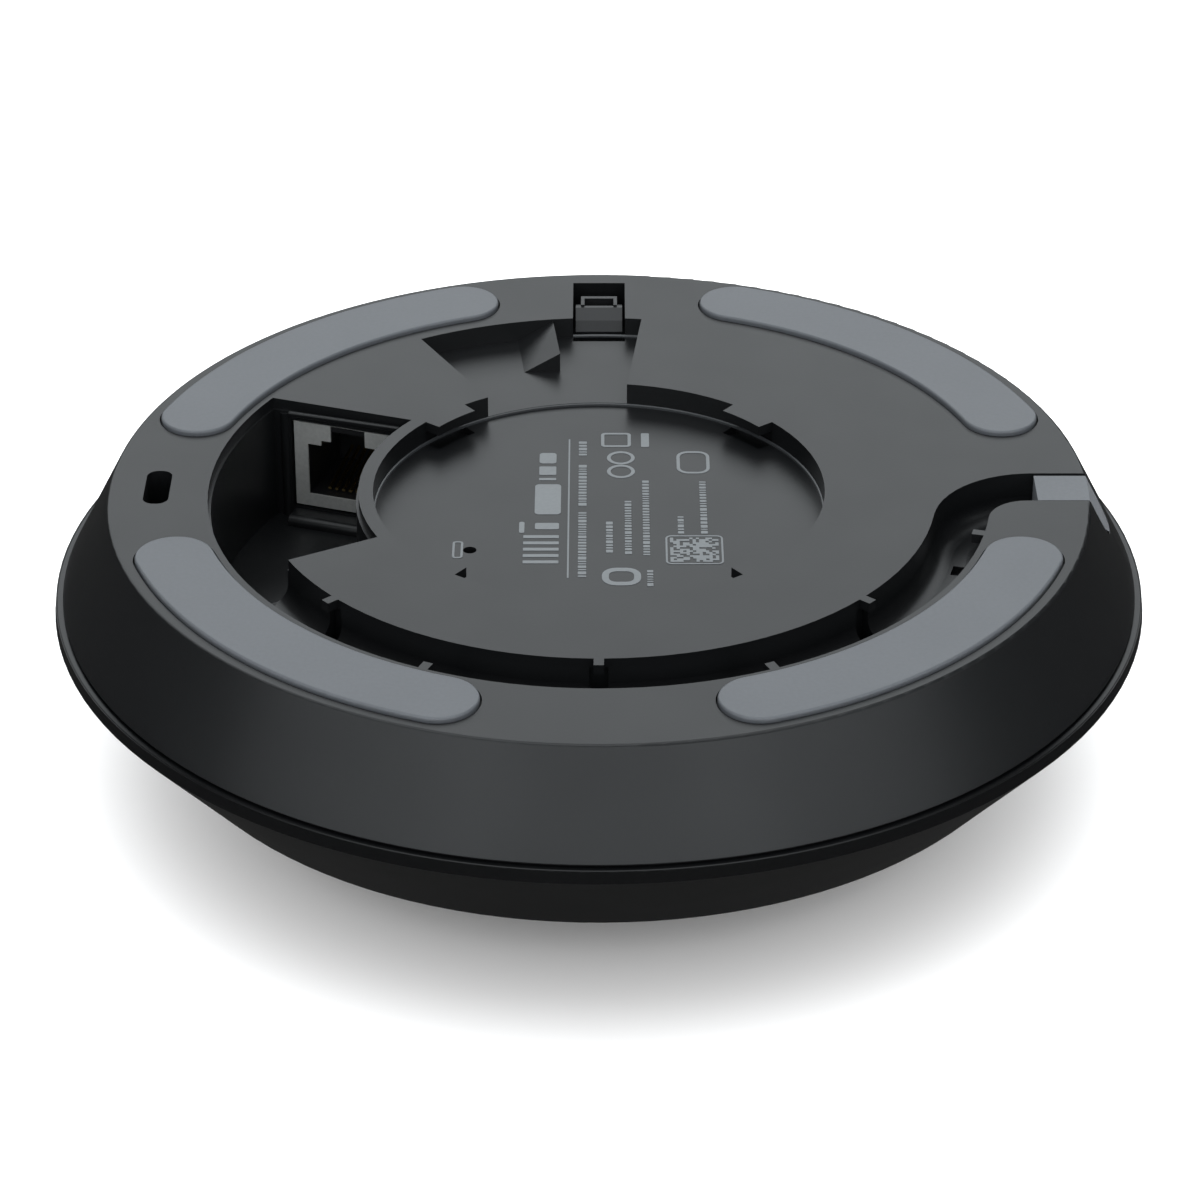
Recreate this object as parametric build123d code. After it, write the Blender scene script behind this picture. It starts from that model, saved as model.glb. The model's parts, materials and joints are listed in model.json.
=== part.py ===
from build123d import *
import math
import os

# Disc-shaped ceiling unit with a network jack in its back and a domed lens in its front.
# Millimetres. +Z points up to the ceiling, the origin is the centre of the flat back face.
# The cable leaves towards +X, the bracket latch is at +Y, the lens looks down along -Z.

# ---- overall ----
RIM_R = 73.1            # widest radius, at the foot of the lip
TOTAL_H = 40.3          # from the foot pads' faces to the tip of the dome
EDGE_SETBACK = 7.8      # rim radius less back face radius
FRONT_SETBACK = 12.5    # rim radius less front edge radius
DOME_RISE = 10.7        # dome tip below the front face
WALL = 1.8              # moulded walls and floors of the rear housing
SKIN = 2.3              # back plate and side wall of the rear housing
TOP_EDGE_FILLET = 0.5

# ---- rear housing and lip ----
SHELL_H = 12.85         # height of the rear housing's side wall
SHELL_DRAFT = 6.65      # how much wider the side wall is at its foot
PARTING_GAP = 0.4       # dark joint between rear housing and lip
LIP_H = 1.65
LIP_LEAN = 0.2
BEZEL_WALL = 3.2        # horizontal thickness of the front bezel's dish

# ---- foot pads ----
PAD_INSET = 6.9         # back face radius less the pads' middle radius
PAD_HALF_W = 5.15
PAD_PROUD = 0.6
PAD_POCKET = 0.9
PAD_GROOVE = 0.25       # gap round each pad
PAD_HALF_ANGLE = 25.3   # from a pad's middle to the centre of its round end
PAD_ANGLES = (45.0, 135.0, 225.0, 315.0)

# ---- bracket recess ----
RECESS_R = 30.15
RECESS_DEPTH = 3.45
SECTOR_DEPTH = 3.0
SECTOR_R = 50.8
SECTOR_START = 83.1     # degrees, the right-hand corner
SECTOR_END = 119.9
SECTOR_FOOT = ((-15.6, 26.3), (-13.0, 21.6), (3.4, 25.2), (3.9, 29.9))
LUG_R = 27.8            # bayonet lugs reach in to this radius
LUG_HALF_ANGLE = 7.0
LUG_T = 1.4
LUG_POCKET = 1.0        # pocket in the floor under each lug
RAMP_START = -10.6      # the stop ramp climbs from here towards +X
RAMP_END = -5.5
RAMP_FRONT_Y = 40.0
RAMP_TOP = -0.3
RAMP_TURN = 6.0

# ---- bracket latch ----
LATCH_HALF_W = 3.35
LATCH_GAP = 0.4         # each side of the latch, in its pocket
LATCH_START_Y = 52.4
LATCH_END_Y = 58.6
POCKET_END_Y = 62.3
POCKET_DEPTH = 7.4
LATCH_FOOT = 4.4        # the latch body's depth below the back face

# ---- cable channel and exit ----
CHANNEL_IN_R = 44.9
CHANNEL_OUT_R = 52.1
CHANNEL_DEPTH = 6.2
CHANNEL_START = -156.0  # where the channel meets the jack bay
CHANNEL_FILLET = 2.6
EXIT_TOP_Y = 3.7
EXIT_LOW_Y = -3.9
EXIT_IN_TURN = 14.2     # turn radius of the island side
EXIT_OUT_TURN = 5.5
PLUG_LEN = 7.0
PLUG_GAP_LOW = 0.12
PLUG_GAP_TOP = 0.7
TAB_W = 1.3
TAB_REACH = 1.6
TAB_T = 1.3
TAB_POCKET_W = 2.4
TAB_POCKET_DEEP = 1.1
INNER_TABS = (-138.6, -90.0, -41.4)
OUTER_TABS = (-114.8, -65.2, -14.2)

# ---- jack bay ----
BAY_IN_R = 32.1
BAY_DEPTH = 18.0
BAY_STEP = 0.35         # ledge below the rim of the bay
BAY_STEP_DEPTH = 1.6
BAY_LOW_LINE = ((-29.8, -14.3), (-46.6, -23.35))
JACK_ANGLE = -18.8      # direction of the jack's face, about Z
JACK_CORNER = (-42.4, 24.85)
JACK_W = 16.0
JACK_H = 13.05
JACK_DEEP = 15.0
JACK_TOP = 3.05         # jack's top below the back face
JACK_GAP = 0.3          # round the jack, in the housing wall
JACK_SHEET = 0.3        # shield sheet thickness
CAVITY_W = 12.0
CAVITY_H = 7.9
CAVITY_TOP = 3.3        # cavity's top below the jack's top
CAVITY_DEEP = 11.5
NOTCH_W = 5.1
NOTCH_STEP_W = 8.0
CONTACT_PITCH = 1.02
CONTACT_R = 0.25
STEP_REACH = 3.4        # marked step under the jack
STEP_TOP = 16.6
CORNER_RIB_R = 0.8

# ---- lock slot and reset hole ----
SLOT_X = -58.9
SLOT_Y = -0.2
SLOT_W = 3.4
SLOT_L = 9.2
SLOT_DEPTH = 7.0
RESET_X = -17.0
RESET_Y = -11.2
RESET_HOLE_R = 0.9

# ---- boards ----
BOARD_T = 1.6
BOARD_R = 54.0
BOARD_GAP = 0.5         # between the board and the bay's wall
STEM_R = 1.65
STEM_GAP = 0.06
STEM_TOP_GAP = 0.7      # between the stem and the housing floor
STEM_TRAVEL = 0.3
SWITCH_SIDE = 6.0
SWITCH_H = 3.5
BOARD_SCREWS = ((37.0, 30.0), (37.0, -24.0), (-20.0, -38.0), (-8.0, 44.0))
CHIP_H = 1.4
CHIP_SIDE = 14.0
CHIP_XY = (0.0, -38.0)
THERMAL_T = 1.0
THERMAL_INSET = 1.0     # thermal pad inside the chip's edge
MEMORY_XY = ((17.0, -37.0), (28.5, -32.0))
MEMORY_W = 8.0
MEMORY_L = 9.0
MEMORY_H = 1.0
TRANSFORMER_X = 14.0
TRANSFORMER_Y = -14.0
TRANSFORMER_SIDE = 14.0
TRANSFORMER_H = 8.0
CORE_SLIT_LOW = 3.6     # slit between the core's two halves
CORE_SLIT_TOP = 4.4
CORE_SLIT_DEEP = 0.5
CAPACITOR_XY = ((30.0, -8.0), (30.0, 2.0))
CAPACITOR_R = 3.15
CAPACITOR_H = 7.6
CAPACITOR_FOOT = 6.6
CAPACITOR_FOOT_T = 0.8
INDUCTOR_XY = (12.0, 12.0)
INDUCTOR_SIDE = 7.0
INDUCTOR_H = 4.0
SWITCH_FLOOR = 0.8
STEM_CLICK_GAP = 0.15   # left under the stem at the end of its travel
SCREW_HOLE_GAP = 0.15   # round a screw in a clearance hole
SEAL_SLOT_IN = 1.6      # housing seal, in from the foot of the side wall
SEAL_SLOT_OUT = 0.4
SEAL_DEEP = 0.8

# ---- front stack ----
COVER_T = 2.0
COVER_GAP = 0.2
LEDGE_T = 1.6
LEDGE_REACH = 8.6       # front edge radius less the ledge's bore
FRAME_T = 1.5
FRAME_BORE_R = 20.0
DOME_BASE_R = 21.5
DOME_WALL = 1.8
DOME_FLANGE_R = 24.4
DOME_FLANGE_T = 1.2
DOME_SEAL_T = 0.6
RING_STEP = 1.0
LED_BOARD_T = 1.0
LED_BOARD_IN_R = 26.0
LED_BOARD_OUT_R = 51.0
LED_H = 0.5
LED_RING_R = 39.0
LED_COUNT = 8
POST_H = 1.0
POST_RING_R = 48.0
POST_ANGLES = (30.0, 150.0, 210.0, 330.0)
POST_R = 3.0
POST_FLOOR = 0.3        # left under a screw in the frame
IR_LED_SIDE = 3.2
STATUS_COUNT = 4
STATUS_SIDE = 1.6
STATUS_INSET = 2.0      # status lights out from the LED board's bore
SPREADER_T = 1.5
SPREADER_IN_R = 30.0
SPREADER_OUT_R = 52.5
FLEX_W = 8.0
FLEX_T = 0.3
FLEX_Y = 47.0
MIC_Y = -47.0
MIC_HOLE_R = 0.6
MIC_W = 3.5
MIC_L = 2.6
MIC_PORT_R = 0.3

# ---- lens module ----
HOLDER_X = 26.0
HOLDER_Y = 22.0
HOLDER_UP = 3.3         # holder's top above the frame
HOLDER_DOWN = 4.1       # holder's foot below the frame's top
HOLDER_FLANGE_X = 55.0
HOLDER_FLANGE_Y = 12.0
HOLDER_FLANGE_T = 1.5
HOLDER_SCREW_X = 24.0
SENSOR_BOARD = 28.0
SENSOR_BOARD_T = 1.2
SENSOR_X = 13.0
ACTUATOR_W = 12.0
ACTUATOR_T = 4.0
CONNECTOR_Y = 10.0
CONNECTOR_W = 16.0
CONNECTOR_T = 4.0
BARREL_WALL = 1.2       # round the front element
FRONT_GLASS_T = 2.0     # rim of the front element
LENS_SEAT = 4.2         # depth of the middle element's seat
LOCK_RING_W = 2.0
LOCK_RING_T = 0.7
SENSOR_Y = 11.0
SENSOR_T = 1.4
FILTER_SLOT_H = 2.0     # space for the filter carriage
CARRIAGE_T = 1.0
CARRIAGE_Y = 10.6
FILTER_SIDE = 6.0
FILTER_SHIFT = 6.6      # travel between the two filters
THREAD_R = 7.0
BARREL_R = 10.5
LENS_GAP = 1.0          # front element to dome, at the tip
FRONT_BULGE = 2.3
REAR_BORE_R = 5.2

# ---- screws ----
SCREW_R = 1.2
SCREW_HEAD_R = 2.2
SCREW_HEAD_H = 1.5
BOSS_R = 3.3
BOSS_GAP = 0.3
HOUSING_BITE = 6.0      # housing screw's length in the bezel boss
BOARD_BITE = 5.0

# ---- levels, down from the back face ----
BACK_R = RIM_R - EDGE_SETBACK
FRONT_R = RIM_R - FRONT_SETBACK
Z_TIP = PAD_PROUD - TOTAL_H
Z_FRONT = Z_TIP + DOME_RISE
Z_LIP_TOP = -SHELL_H - PARTING_GAP
Z_LIP_FOOT = Z_LIP_TOP - LIP_H
Z_BOSS_JOINT = -SHELL_H - PARTING_GAP / 2
Z_BOARD = -JACK_TOP - JACK_H
Z_BOARD_LOW = Z_BOARD - BOARD_T
Z_LEDGE_LOW = Z_FRONT + COVER_T
Z_LEDGE = Z_LEDGE_LOW + LEDGE_T
Z_FRAME = Z_LEDGE + FRAME_T
Z_SPREADER_LOW = Z_FRAME + POST_H
Z_SPREADER = Z_SPREADER_LOW + SPREADER_T
Z_HOLDER = Z_FRAME + HOLDER_UP
Z_HOLDER_LOW = Z_FRAME - HOLDER_DOWN
Z_SENSOR_BOARD = Z_HOLDER + SENSOR_BOARD_T
Z_FILTER_TOP = Z_HOLDER - 2.0
Z_FILTER_LOW = Z_FILTER_TOP - FILTER_SLOT_H
Z_BARREL_FRONT = Z_TIP + DOME_WALL + LENS_GAP + FRONT_BULGE
PAD_R = BACK_R - PAD_INSET
COVER_SEAT_R = FRONT_R - 2.2
LEDGE_R = FRONT_R - LEDGE_REACH
FRAME_R = LEDGE_R + 3.0
DEEP = 100.0            # longer than any cut needs


def polar(radius, degrees):
    a = math.radians(degrees)
    return (radius * math.cos(a), radius * math.sin(a))


def disc(radius, z_low, z_high, x=0.0, y=0.0):
    body = Cylinder(radius, z_high - z_low, align=(Align.CENTER, Align.CENTER, Align.MIN))
    return Pos(x, y, z_low) * body


def ring(r_in, r_out, z_low, z_high, x=0.0, y=0.0):
    return disc(r_out, z_low, z_high, x, y) - disc(r_in, z_low, z_high, x, y)


def block(x_mid, y_mid, width, depth, z_low, z_high):
    body = Box(width, depth, z_high - z_low, align=(Align.CENTER, Align.CENTER, Align.MIN))
    return Pos(x_mid, y_mid, z_low) * body


def lathe(points):
    outline = Polyline(*[(r, 0, z) for r, z in points], close=True)
    return revolve(make_face(outline), Axis.Z)


def prism(face, z_low, z_high):
    return extrude(Pos(0, 0, z_low) * face, amount=z_high - z_low, dir=(0, 0, 1))


def wedge_face(r_in, r_out, start, end):
    a, b = polar(r_in, start), polar(r_out, start)
    c, d = polar(r_out, end), polar(r_in, end)
    outer = CenterArc((0, 0), r_out, start, end - start)
    inner = CenterArc((0, 0), r_in, start, end - start)
    return make_face([Line(a, b), outer, Line(c, d), inner])


def grown(face, amount):
    return offset(face, amount=amount, kind=Kind.INTERSECTION)


def screw(x, y, z_seat, length, up=False, head_r=SCREW_HEAD_R, shank_r=SCREW_R):
    """Pan-head screw: the head sits above z_seat, or hangs below it when up is set."""
    head = disc(head_r, 0, SCREW_HEAD_H)
    head = fillet(head.edges().group_by(Axis.Z)[-1], 0.4)
    drive = Box(2.2, 0.5, 0.8) + Box(0.5, 2.2, 0.8)
    body = head + disc(shank_r, -length, 0) - Pos(0, 0, SCREW_HEAD_H) * drive
    if up:
        body = Rot(180, 0, 0) * body
    return Pos(x, y, z_seat) * body


# ---- outlines on the back face ----

def exit_turn(wall_r, turn_r, wall_y):
    """Angle where a channel wall leaves its circle, and the centre of its turn to +X."""
    angle = math.degrees(math.asin((wall_y - turn_r) / (wall_r + turn_r)))
    return angle, polar(wall_r + turn_r, angle)


def channel_face():
    """Channel outline: a ring round the near side, then an S out through the +X edge."""
    start = CHANNEL_START
    in_angle, in_centre = exit_turn(CHANNEL_IN_R, EXIT_IN_TURN, EXIT_TOP_Y)
    out_angle, out_centre = exit_turn(CHANNEL_OUT_R, EXIT_OUT_TURN, EXIT_LOW_Y)
    far = RIM_R + 5
    in_turn = CenterArc(in_centre, EXIT_IN_TURN, 90, 90 + in_angle)
    out_turn = CenterArc(out_centre, EXIT_OUT_TURN, 90, 90 + out_angle)
    edges = [
        CenterArc((0, 0), CHANNEL_OUT_R, start, out_angle - start),
        out_turn,
        Line((out_centre[0], EXIT_LOW_Y), (far, EXIT_LOW_Y)),
        Line((far, EXIT_LOW_Y), (far, EXIT_TOP_Y)),
        Line((far, EXIT_TOP_Y), (in_centre[0], EXIT_TOP_Y)),
        in_turn,
        CenterArc((0, 0), CHANNEL_IN_R, start, in_angle - start),
        Line(polar(CHANNEL_IN_R, start), polar(CHANNEL_OUT_R, start)),
    ]
    return make_face(edges)


def jack_place(along=0.0, into=0.0, z=0.0):
    """Place on the jack: along its face from its left edge, into the housing, and height."""
    return Pos(JACK_CORNER[0], JACK_CORNER[1], z) * Rot(0, 0, JACK_ANGLE) * Pos(along, into, 0)


def jack_box(along, into, width, depth, z_low, z_high):
    body = Box(width, depth, z_high - z_low, align=(Align.MIN, Align.MIN, Align.MIN))
    return jack_place(along, into, z_low) * body


def below_jack_face():
    """Half plane in front of the jack's face."""
    return jack_place(0, 0) * (Pos(0, -DEEP / 2) * Rectangle(2 * DEEP, DEEP))


def bay_face():
    """Jack bay outline: a stretch of ring cut by the jack's face and by the low edge."""
    (x0, y0), (x1, y1) = BAY_LOW_LINE
    turn = math.degrees(math.atan2(y1 - y0, x1 - x0)) + 180
    above_low = Pos(x0, y0) * Rot(0, 0, turn) * (Pos(0, DEEP / 2) * Rectangle(2 * DEEP, DEEP))
    band = wedge_face(BAY_IN_R, CHANNEL_OUT_R, 130.0, 220.0)
    return band & below_jack_face() & above_low


def sector_face():
    start, end = polar(SECTOR_R, SECTOR_START), polar(SECTOR_R, SECTOR_END)
    arc = CenterArc((0, 0), SECTOR_R, SECTOR_START, SECTOR_END - SECTOR_START)
    foot = Polyline(end, *SECTOR_FOOT, start)
    return make_face([arc, foot])


def latch_pocket_face():
    width = 2 * (LATCH_HALF_W + LATCH_GAP)
    low = SECTOR_R - 1.5
    return Pos(0, (low + POCKET_END_Y) / 2) * Rectangle(width, POCKET_END_Y - low)


def slot_face():
    return Pos(SLOT_X, SLOT_Y) * RectangleRounded(SLOT_W, SLOT_L, 1.5)


def pad_face(angle, half_w):
    arc = CenterArc((0, 0), PAD_R, angle - PAD_HALF_ANGLE, 2 * PAD_HALF_ANGLE)
    return SlotArc(arc, 2 * half_w)


# ---- rear housing ----

def housing_outside(z_low):
    """Solid inside the rear housing's outer surface, carried straight down to z_low."""
    foot = BACK_R + SHELL_DRAFT
    points = [(0, 0), (BACK_R, 0), (foot, -SHELL_H)]
    if z_low < -SHELL_H:
        points += [(foot - SKIN - 0.1, -SHELL_H), (foot - SKIN - 0.1, z_low)]
    return lathe(points + [(0, z_low)])


def channel_cut(face, depth, top=1.0):
    body = prism(face, -depth, top)
    return fillet(body.edges().group_by(Axis.Z)[0], CHANNEL_FILLET)


def recess_cuts():
    """Everything hollow on the back face, as solids to cut."""
    bay = bay_face()
    cuts = [
        prism(Circle(RECESS_R), -RECESS_DEPTH, 1.0),
        prism(sector_face(), -SECTOR_DEPTH, 1.0),
        prism(latch_pocket_face(), -POCKET_DEPTH, 1.0),
        prism(slot_face(), -SLOT_DEPTH, 1.0),
        channel_cut(channel_face(), CHANNEL_DEPTH),
        prism(bay, -BAY_STEP_DEPTH, 1.0),
        prism(offset(bay, amount=-BAY_STEP), -BAY_DEPTH, 0),
    ]
    return cuts


def recess_shells():
    """The same hollows, one wall bigger and one floor deeper."""
    parts = [
        (Circle(RECESS_R), RECESS_DEPTH),
        (sector_face(), SECTOR_DEPTH),
        (latch_pocket_face(), POCKET_DEPTH),
        (slot_face(), SLOT_DEPTH),
        (channel_face(), CHANNEL_DEPTH),
        (bay_face(), BAY_DEPTH),
    ]
    return [prism(grown(face, WALL), -depth - WALL, -0.5) for face, depth in parts]


def stop_ramp():
    rise = Polyline((RAMP_START, 0, -SECTOR_DEPTH - 0.2), (RAMP_START, 0, -SECTOR_DEPTH),
                    (RAMP_END, 0, RAMP_TOP), (RAMP_END, 0, -SECTOR_DEPTH - 0.2), close=True)
    body = extrude(make_face(rise), amount=12.0, dir=(0, 1, 0))
    body = Pos(RAMP_END, RAMP_FRONT_Y, 0) * Rot(0, 0, RAMP_TURN) * Pos(-RAMP_END, 0, 0) * body
    return body & disc(SECTOR_R + 0.5, -DEEP, DEEP)


def channel_tab(angle, inner):
    """Small finger that keeps the cable down, and the pocket under it."""
    wall_r = CHANNEL_IN_R if inner else CHANNEL_OUT_R
    out = 1 if inner else -1
    tab_mid = wall_r + out * (TAB_REACH - 0.6) / 2
    tab = Rot(0, 0, angle) * block(tab_mid, 0, TAB_REACH + 0.6, TAB_W, -TAB_T, 0)
    pocket_mid = wall_r + out * 1.6
    pocket = block(pocket_mid, 0, 5.0, TAB_POCKET_W, -CHANNEL_DEPTH - TAB_POCKET_DEEP, -TAB_T)
    return tab, Rot(0, 0, angle) * pocket


def make_rear_housing():
    outside = housing_outside(-SHELL_H)
    outside = fillet(outside.edges().filter_by(GeomType.CIRCLE).group_by(Axis.Z)[-1], TOP_EDGE_FILLET)
    hollow = lathe([(0, -SKIN), (BACK_R - SKIN, -SKIN), (BACK_R + SHELL_DRAFT - SKIN, -SHELL_H),
                    (BACK_R + SHELL_DRAFT - SKIN, -SHELL_H - 1), (0, -SHELL_H - 1)])
    body = outside - hollow
    limit = housing_outside(-BAY_DEPTH - 2 * WALL)
    for shell in recess_shells():
        body += shell & limit
    for x, y in BOARD_SCREWS:
        body += disc(BOSS_R - 0.5, Z_BOARD, -SKIN / 2, x, y)
    for angle in PAD_ANGLES:
        x, y = polar(PAD_R, angle)
        body += disc(BOSS_R, Z_BOSS_JOINT, -SKIN / 2, x, y)
    body += disc(STEM_R + 1.4, -RECESS_DEPTH - WALL - 3.0, -RECESS_DEPTH - 0.5, RESET_X, RESET_Y)
    for cut in recess_cuts():
        body -= cut
    for angle in INNER_TABS + OUTER_TABS:
        tab, pocket = channel_tab(angle, angle in INNER_TABS)
        body = body - pocket + tab
    body += stop_ramp()
    lug_height = RECESS_DEPTH + LUG_POCKET
    for angle in PAD_ANGLES:
        start, end = angle - LUG_HALF_ANGLE, angle + LUG_HALF_ANGLE
        body -= prism(wedge_face(LUG_R, RECESS_R + 0.6, start, end), -lug_height, -LUG_T)
        body += prism(wedge_face(LUG_R, RECESS_R + 0.6, start, end), -LUG_T, 0)
        body -= prism(pad_face(angle, PAD_HALF_W + PAD_GROOVE), -PAD_POCKET, 1.0)
        x, y = polar(PAD_R, angle)
        body -= disc(SCREW_HEAD_R + BOSS_GAP, -PAD_POCKET - SCREW_HEAD_H - 0.3, 0, x, y)
        body -= disc(SCREW_R + BOSS_GAP, -DEEP, 0, x, y)
    for x, y in BOARD_SCREWS:
        body -= disc(SCREW_R, Z_BOARD - 1, Z_BOARD + BOARD_BITE + 0.4, x, y)
    body -= disc(RESET_HOLE_R, -DEEP, 1.0, RESET_X, RESET_Y)
    stem_room = -RECESS_DEPTH - WALL + 0.2
    body -= disc(STEM_R + STEM_GAP, -DEEP, stem_room, RESET_X, RESET_Y)
    return body + jack_wall_details() - jack_opening()


def jack_opening():
    gap = JACK_GAP
    return jack_box(-gap, -0.5, JACK_W + 2 * gap, WALL + 1.5, Z_BOARD - gap, -JACK_TOP + gap)


def jack_wall_details():
    """Marked step under the jack and the rib in the bay's corner."""
    step = jack_box(0, -STEP_REACH, JACK_W, STEP_REACH + 0.5, -BAY_DEPTH - 0.3, -STEP_TOP)
    front = step.edges().filter_by(Axis.Z, reverse=True).group_by(Axis.Z)[-1]
    low = front.sort_by(lambda e: (jack_place().inverse() * e).center().Y)[0]
    step = fillet(low, 1.1)
    rib = jack_place(-1.2, 0.1, -BAY_DEPTH - 0.3) * Cylinder(
        CORNER_RIB_R, BAY_DEPTH - BAY_STEP_DEPTH, align=(Align.CENTER, Align.CENTER, Align.MIN))
    return step + rib


# ---- pieces on the back ----

def make_foot_pad(angle):
    pad = prism(pad_face(angle, PAD_HALF_W), -PAD_POCKET, PAD_PROUD)
    return fillet(pad.edges().group_by(Axis.Z)[-1], 0.35)


def make_exit_plug():
    width = EXIT_TOP_Y - EXIT_LOW_Y - PLUG_GAP_LOW - PLUG_GAP_TOP
    low = EXIT_LOW_Y + PLUG_GAP_LOW
    depth = CHANNEL_DEPTH - 0.1
    block_x = BACK_R - PLUG_LEN
    body = block(block_x + DEEP / 2, low + width / 2, DEEP, width, -depth, 0)
    body = fillet(body.edges().filter_by(Axis.X).group_by(Axis.Z)[0], width / 2 - 0.1)
    return body & housing_outside(-SHELL_H)


def make_latch():
    """Catch finger: a ramp, a crest and a cross rib with two short arms."""
    y0, y1 = LATCH_START_Y, LATCH_END_Y
    outline = Polyline((0, y0, -LATCH_FOOT), (0, y0, -SECTOR_DEPTH), (0, y0 + 1.2, -1.8),
                       (0, y0 + 3.0, -0.6), (0, y0 + 3.6, -0.6), (0, y0 + 3.6, -1.7),
                       (0, y1, -1.7), (0, y1, -LATCH_FOOT), close=True)
    side = extrude(make_face(outline), amount=LATCH_HALF_W, dir=(1, 0, 0), both=True)
    rib = block(0, y1 - 0.35, 5.2, 0.7, -1.9, -0.35)
    for sx in (-1, 1):
        rib += block(sx * 2.35, y1 - 1.4, 0.5, 2.8, -1.9, -0.35)
    return side + rib


def make_jack_shield():
    """Folded sheet box with a stepped opening for the plug and its latch."""
    low, high = -JACK_TOP - JACK_H, -JACK_TOP
    t = JACK_SHEET
    shell = jack_box(0, 0, JACK_W, JACK_DEEP, low, high)
    shell -= jack_box(t, t, JACK_W - 2 * t, JACK_DEEP, low - 1, high - t)
    mid = JACK_W / 2
    roof = high - CAVITY_TOP
    shell -= jack_box(mid - CAVITY_W / 2, -1, CAVITY_W, 1 + 2 * t, roof - CAVITY_H, roof)
    shell -= jack_box(mid - NOTCH_STEP_W / 2, -1, NOTCH_STEP_W, 1 + 2 * t, roof - 0.5, roof + 0.8)
    shell -= jack_box(mid - NOTCH_W / 2, -1, NOTCH_W, 1 + 2 * t, roof - 0.5, high - 0.02)
    return shell


def make_jack_insert():
    """Plastic body inside the shield, with the plug cavity and the slots for the contacts."""
    low, high = -JACK_TOP - JACK_H, -JACK_TOP
    t = JACK_SHEET
    mid = JACK_W / 2
    roof = high - CAVITY_TOP
    body = jack_box(t, t, JACK_W - 2 * t, JACK_DEEP - t, low, high - t)
    body -= jack_box(mid - CAVITY_W / 2, -1, CAVITY_W, CAVITY_DEEP + 1, roof - CAVITY_H, roof)
    body -= jack_box(mid - NOTCH_STEP_W / 2, -1, NOTCH_STEP_W, CAVITY_DEEP, roof - 0.5, roof + 0.8)
    body -= jack_box(mid - NOTCH_W / 2, -1, NOTCH_W, CAVITY_DEEP, roof - 0.5, high - 1.0)
    return body


def make_jack_contacts():
    """Eight sprung wires lying on the cavity floor."""
    floor = -JACK_TOP - CAVITY_TOP - CAVITY_H
    wires = []
    for i in range(8):
        along = JACK_W / 2 + (i - 3.5) * CONTACT_PITCH
        foot = (0, 1.6, CONTACT_R)
        rise = (0, CAVITY_DEEP - 1.2, 2.6)
        line = Line(foot, rise)
        wire = sweep(Plane(foot, z_dir=line % 0) * Circle(CONTACT_R), path=line)
        wires.append(jack_place(along, 0, floor + CONTACT_R) * wire)
    return Compound(children=wires)


def make_jack_seal():
    """Rubber collar over the jack, behind the bay wall; open below, where the board is."""
    lip = 0.6
    high = -JACK_TOP + lip
    into = WALL + 0.35
    body = jack_box(-1.2, into, JACK_W + 2.4, 1.3, Z_BOARD, high)
    return body - jack_box(0, 0, JACK_W, JACK_DEEP, Z_BOARD - 1, -JACK_TOP)


# ---- main board and what it carries ----

def make_main_board():
    keep_out = grown(bay_face(), WALL + BOARD_GAP)
    board = prism(Sketch() + Circle(BOARD_R) - keep_out, Z_BOARD_LOW, Z_BOARD)
    for x, y in BOARD_SCREWS:
        board -= disc(SCREW_R + SCREW_HOLE_GAP, -DEEP, 0, x, y)
    return board.solids().sort_by(SortBy.VOLUME)[-1]


def make_reset_switch():
    body = block(RESET_X, RESET_Y, SWITCH_SIDE, SWITCH_SIDE, Z_BOARD, Z_BOARD + SWITCH_H)
    body = fillet(body.edges().filter_by(Axis.Z), 0.5)
    return body - disc(STEM_R + STEM_GAP, Z_BOARD + SWITCH_FLOOR, 0, RESET_X, RESET_Y)


def make_reset_stem():
    top = -RECESS_DEPTH - WALL + 0.2 - STEM_TOP_GAP
    low = Z_BOARD + SWITCH_FLOOR + STEM_TRAVEL + STEM_CLICK_GAP
    stem = disc(STEM_R, low, top, RESET_X, RESET_Y)
    return chamfer(stem.edges().group_by(Axis.Z)[-1], 0.3)


def make_transformer():
    x, y, side = TRANSFORMER_X, TRANSFORMER_Y, TRANSFORMER_SIDE
    core = block(x, y, side, side, Z_BOARD, Z_BOARD + TRANSFORMER_H)
    core = fillet(core.edges().filter_by(Axis.Z), 1.0)
    slit = (Z_BOARD + CORE_SLIT_LOW, Z_BOARD + CORE_SLIT_TOP)
    return core - block(x, y, side + 1, 2 * CORE_SLIT_DEEP, *slit)


def make_capacitors():
    cans = []
    foot_top = Z_BOARD + CAPACITOR_FOOT_T
    for x, y in CAPACITOR_XY:
        can = disc(CAPACITOR_R, foot_top, Z_BOARD + CAPACITOR_H, x, y)
        can = fillet(can.edges().group_by(Axis.Z)[-1], 0.5)
        cans.append(can + block(x, y, CAPACITOR_FOOT, CAPACITOR_FOOT, Z_BOARD, foot_top))
    return Compound(children=cans)


def make_inductor():
    body = block(*INDUCTOR_XY, INDUCTOR_SIDE, INDUCTOR_SIDE, Z_BOARD, Z_BOARD + INDUCTOR_H)
    return fillet(body.edges().filter_by(Axis.Z), 1.6)


def make_processor():
    x, y = CHIP_XY
    chip = block(x, y, CHIP_SIDE, CHIP_SIDE, Z_BOARD_LOW - CHIP_H, Z_BOARD_LOW)
    return chamfer(chip.edges().group_by(Axis.Z)[0], 0.25)


def make_memory_chips():
    chips = []
    for x, y in MEMORY_XY:
        chips.append(block(x, y, MEMORY_W, MEMORY_L, Z_BOARD_LOW - MEMORY_H, Z_BOARD_LOW))
    return Compound(children=chips)


def make_thermal_pad():
    x, y = CHIP_XY
    top = Z_BOARD_LOW - CHIP_H
    side = CHIP_SIDE - 2 * THERMAL_INSET
    return block(x, y, side, side, top - THERMAL_T, top)


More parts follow.
